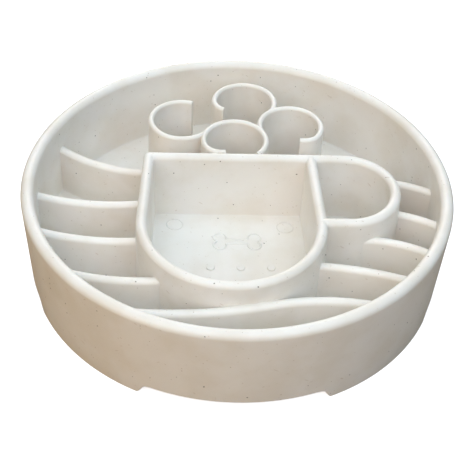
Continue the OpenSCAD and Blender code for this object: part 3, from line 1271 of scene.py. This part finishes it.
@dataclass
class Ridges:
    """The eight curving ridges and the wavy one in front."""
    material: bpy.types.Material
    fillet: float = 0.3
    end_cover: float = 0.4
    plans: tuple[RidgePlan, ...] = (
        RidgePlan("left_ridge_1", Side.CORNER, 1.0, 0.4313, 0.0915),
        RidgePlan("left_ridge_2", Side.MUG_SIDE, 0.5027, 0.4937, 0.0685),
        RidgePlan("left_ridge_3", Side.MUG_END, 0.5074, 0.5344, 0.0602),
        RidgePlan("left_ridge_4", Side.MUG_END, 0.6158, 0.5771, 0.0685),
        RidgePlan("right_ridge_1", Side.HANDLE, 0.1638, 0.0122, 0.074),
        RidgePlan("right_ridge_2", Side.HANDLE, -0.0273, -0.0268, 0.0475),
        RidgePlan("right_ridge_3", Side.HANDLE, -0.2173, -0.0608, 0.0827, 0.1),
        RidgePlan("right_ridge_4", Side.MUG_END, -0.0671, -0.0935, 0.0412),
    )
    wave_out: float = 4.35
    wave_turn: float = -0.1885
    wave_slope: float = 14.1
    wave_left_share: float = 1.907
    wave_right_share: float = 0.954
    wave_turns: tuple[float, float] = (0.0667, 0.0931)

    def wave_path(self) -> Path:
        """Two arcs that pass into each other at a joint beside the mug and bend opposite ways.

        Returns:
            The path, from left to right.
        """
        joint = MUG.end_c + (MUG.end_r + self.wave_out) * plan(2 * math.pi * self.wave_turn)
        up = plan(math.radians(self.wave_slope + 90))
        r_left, r_right = self.wave_left_share * BOWL.r, self.wave_right_share * BOWL.r
        low, high = self.wave_slope - 90, self.wave_slope + 90
        left = Path.arc(joint + r_left * up, r_left, low - 360 * self.wave_turns[0], low)
        return left.then(Path.arc(joint - r_right * up, r_right, high, high - 360 * self.wave_turns[1]))

    def blade(self, path: Path, half: float, near: list[Neighbour]) -> Shell:
        """One ridge, whose ends stay inside the wall.

        A place that would be less than the end cover inside the bowl's outer face at its height
        moves straight inwards until it is, so that a slanting end doesn't stand out of the wall.

        Args:
            path: its middle line.
            half: half its thickness at the top.
            near: the faces that it runs into.

        Returns:
            The shell.
        """
        shell = Sweep(path, Section(half, RIDGE_TOP), near).shell()
        reach = np.hypot(shell.verts[:, 0], shell.verts[:, 1])
        most = BOWL.outer(np.maximum(shell.verts[:, 2], BOWL.foot_h)) - self.end_cover
        flat = shell.verts[:, :2] * np.minimum(1, most / np.maximum(reach, 1))[:, None]
        return Shell(np.column_stack([flat, shell.verts[:, 2]]), shell.quads, shell.tris)

    def build(self) -> list[bpy.types.Object]:
        """All the ridges.

        Returns:
            The nine pieces.
        """
        pieces = [make_piece(f"{p.node}_blade", [self.blade(p.path(), RIDGE_HALF, p.neighbours())],
                             self.material, p.node) for p in self.plans]
        args = (self.fillet, Meeting.TALL)
        near = [RingNeighbour(*args), RoundNeighbour(*args, MUG_WALL, MUG.end_c, MUG.end_r)]
        wave = self.blade(self.wave_path(), WAVE_HALF, near)
        return pieces + [make_piece("front_wave_blade", [wave], self.material, "front_wave")]


@dataclass(frozen=True)
class CurlPlan:
    """One curl: its place, its angles in degrees and the place of the curl that it runs into.

    A curl starts at its tip's free end, passes into its wide bend at the turn and runs to the end.
    Where tip is None there is only the wide bend, and where onto is None the curl runs into the
    mug's back.
    """
    node: str
    place: tuple[float, float]
    tip: float | None
    turn: float
    end: float
    onto: tuple[float, float] | None


@dataclass
class SteamCurls:
    """The four open curls behind the mug."""
    material: bpy.types.Material
    fillet: float = 0.4
    edge: float = 0.4
    plans: tuple[CurlPlan, ...] = (
        CurlPlan("curl_centre", CURLS.centre, 285, 190, -46, None),
        CurlPlan("curl_left", CURLS.left, None, 70, 315, CURLS.centre),
        CurlPlan("curl_right", CURLS.right, -105, -26, 195, CURLS.centre),
        CurlPlan("curl_top", CURLS.rear, 246, 172, -29, CURLS.right),
    )

    def path(self, curl: CurlPlan) -> Path:
        """Tighter tip and wide bend of a curl, which pass into each other.

        The tip's middle lies inside the curl on the line through the turn where they meet.

        Args:
            curl: the curl.

        Returns:
            The path, from the free end, less the length that its rounded edge takes.
        """
        c = CURLS.middle(curl.place)
        if curl.tip is None:
            return Path.arc(c, CURLS.r, curl.turn + math.degrees(self.edge / CURLS.r), curl.end)
        tip_r = CURLS.r * CURLS.tip_share
        hub = c + (CURLS.r - tip_r) * plan(math.radians(curl.turn))
        short = math.copysign(math.degrees(self.edge / tip_r), curl.turn - curl.tip)
        tip = Path.arc(hub, tip_r, curl.tip + short, curl.turn)
        return tip.then(Path.arc(c, CURLS.r, curl.turn, curl.end))

    def near(self, curl: CurlPlan) -> Neighbour:
        """The wall that a curl runs into.

        Args:
            curl: the curl.

        Returns:
            The neighbour.
        """
        if curl.onto is None:
            back = MUG.back_corner(-1), MUG.back_corner(1)
            return StraightNeighbour(self.fillet, Meeting.TALL, MUG_WALL, *back)
        return RoundNeighbour(self.fillet, Meeting.LEVEL, CURL_WALL, CURLS.middle(curl.onto), CURLS.r)

    def build(self) -> list[bpy.types.Object]:
        """The centre, left, right and rear curls.

        Returns:
            The four pieces.
        """
        pieces = []
        for curl in self.plans:
            sweep = Sweep(self.path(curl), CURL_WALL, [self.near(curl)], End.FREE, self.edge)
            pieces.append(make_piece(f"{curl.node}_wall", [sweep.shell()], self.material, curl.node))
        return pieces


# Studio

@dataclass(frozen=True)
class Light:
    """Soft square lamp that points at the bowl."""
    name: str
    place: tuple[float, float, float]
    size: float
    power: float
    colour: tuple[float, float, float]
    aim: tuple[float, float, float] = (0.0, 0.0, 0.02)

    def build(self) -> None:
        """Adds the lamp, tilted from straight down and turned so that its -Z leads to the aim."""
        data = bpy.data.lights.new(self.name, "AREA")
        data.shape = "SQUARE"
        data.size = self.size
        data.energy = self.power
        data.color = self.colour
        obj = bpy.data.objects.new(self.name, data)
        obj.location = self.place
        x, y, z = np.subtract(self.aim, self.place)
        obj.rotation_euler = (math.atan2(math.hypot(x, y), -z), 0.0, math.atan2(-x, y))
        bpy.context.scene.collection.objects.link(obj)


@dataclass
class Studio:
    """Pale floor, soft lights and the camera, whose target and distance are in millimetres."""
    lens: float = 86.92
    sensor: float = 36.0
    clip: tuple[float, float] = (0.01, 50.0)
    elevation: float = 42.112
    yaw: float = -3.2
    roll: float = 2.951
    distance: float = 590.23
    target: tuple[float, float, float] = (-0.41, -0.08, 15.25)
    floor_half: float = 6.0
    thrown: tuple[float, float, float] = (0.30, 0.22, 0.15)
    pale: tuple[float, float, float] = (0.9, 0.9, 0.9)
    glow_reach: tuple[float, float] = (0.3, 1.1)
    glow: tuple[float, float] = (0.75, 1.0)
    sky: tuple[float, float, float] = (0.95, 0.97, 1.0)
    sky_strength: float = 0.02
    white: tuple[float, float, float] = (1.0, 1.0, 1.0)
    lamps: tuple[Light, ...] = (
        Light("overhead", (0.0, 0.0, 1.4), 1.2, 11.0, (0.73, 0.89, 1.0)),
        Light("front_high", (0.0, -1.1, 1.0), 0.9, 5.0, (1.0, 0.84, 0.85)),
        Light("front_left", (-0.8, -0.8, 1.0), 0.9, 6.8, (1.0, 0.98, 0.89)),
        Light("front_right", (0.8, -0.8, 1.0), 0.9, 6.8, (0.67, 0.88, 1.0)),
        Light("back_high", (0.0, 1.1, 1.0), 0.9, 5.5, (1.0, 0.86, 0.84)),
        Light("back_low", (0.0, 1.35, 0.4), 0.7, 4.9, (1.0, 1.0, 0.92)),
        Light("left_low", (-1.0, -0.95, 0.22), 0.5, 2.1, (1.0, 0.63, 0.15)),
    )

    def camera(self) -> None:
        """Adds the camera: moved back from the target, rolled about its axis, raised and turned."""
        tilt, yaw, roll = (math.radians(v) for v in (90 - self.elevation, self.yaw, self.roll))
        data = bpy.data.cameras.new("camera")
        data.lens = self.lens
        data.sensor_width = self.sensor
        data.clip_start, data.clip_end = self.clip
        obj = bpy.data.objects.new("camera", data)
        obj.matrix_world = (Matrix.Translation([v * MM for v in self.target]) @ Matrix.Rotation(yaw, 4, "Z")
                            @ Matrix.Rotation(tilt, 4, "X") @ Matrix.Rotation(roll, 4, "Z")
                            @ Matrix.Translation([0, 0, self.distance * MM]))
        bpy.context.scene.collection.objects.link(obj)
        bpy.context.scene.camera = obj

    def floor(self) -> None:
        """Adds a large floor, white to the camera and warm in what it throws back on the bowl.

        Its glow grows with the distance from the bowl, so that the bowl's shadow shows and the far
        floor is white.
        """
        s = self.floor_half
        mesh = bpy.data.meshes.new("studio_floor")
        mesh.from_pydata([(-s, -s, 0), (s, -s, 0), (s, s, 0), (-s, s, 0)], [], [(0, 1, 2, 3)])
        mat = bpy.data.materials.new("studio_floor")
        mat.use_nodes = True
        kit = NodeKit(mat.node_tree)
        thrown, plain = (kit.node("BsdfDiffuse", {"Color": c}).outputs[0] for c in (self.thrown, self.pale))
        away = kit.node("VectorMath", {0: kit.where}, operation="LENGTH").outputs["Value"]
        glow = kit.node("Emission", {"Strength": kit.ramp(away, *self.glow_reach, *self.glow)})
        both = kit.node("AddShader", {0: plain, 1: glow.outputs[0]})
        kit.finish(thrown, both.outputs[0], "OutputMaterial")
        mesh.materials.append(mat)
        obj = bpy.data.objects.new("studio_floor", mesh)
        bpy.context.scene.collection.objects.link(obj)

    def world(self) -> None:
        """Makes even dim surroundings, white to the camera."""
        world = bpy.data.worlds.new("surroundings")
        bpy.context.scene.world = world
        world.use_nodes = True
        kit = NodeKit(world.node_tree)
        dim = kit.node("Background", {"Color": self.sky, "Strength": self.sky_strength})
        white = kit.node("Background", {"Color": self.white})
        kit.finish(dim.outputs[0], white.outputs[0], "OutputWorld")

    def build(self) -> None:
        """Adds the floor, the surroundings, the lamps and the camera."""
        self.floor()
        self.world()
        for lamp in self.lamps:
            lamp.build()
        self.camera()
        bpy.context.scene.view_settings.view_transform = "Standard"


def main() -> None:
    """Builds the finish, the pieces in order, and the studio."""
    logging.basicConfig(level=logging.INFO, format="%(name)s: %(message)s")
    plastic = SpeckledPlastic().build()
    for kind in (OuterRing, FloorPlate, MugCompartment, Ridges, SteamCurls):
        pieces = kind(plastic).build()
        LOG.info("%s: %d pieces", kind.__name__, len(pieces))
    Studio().build()


if __name__ == "__main__":
    main()
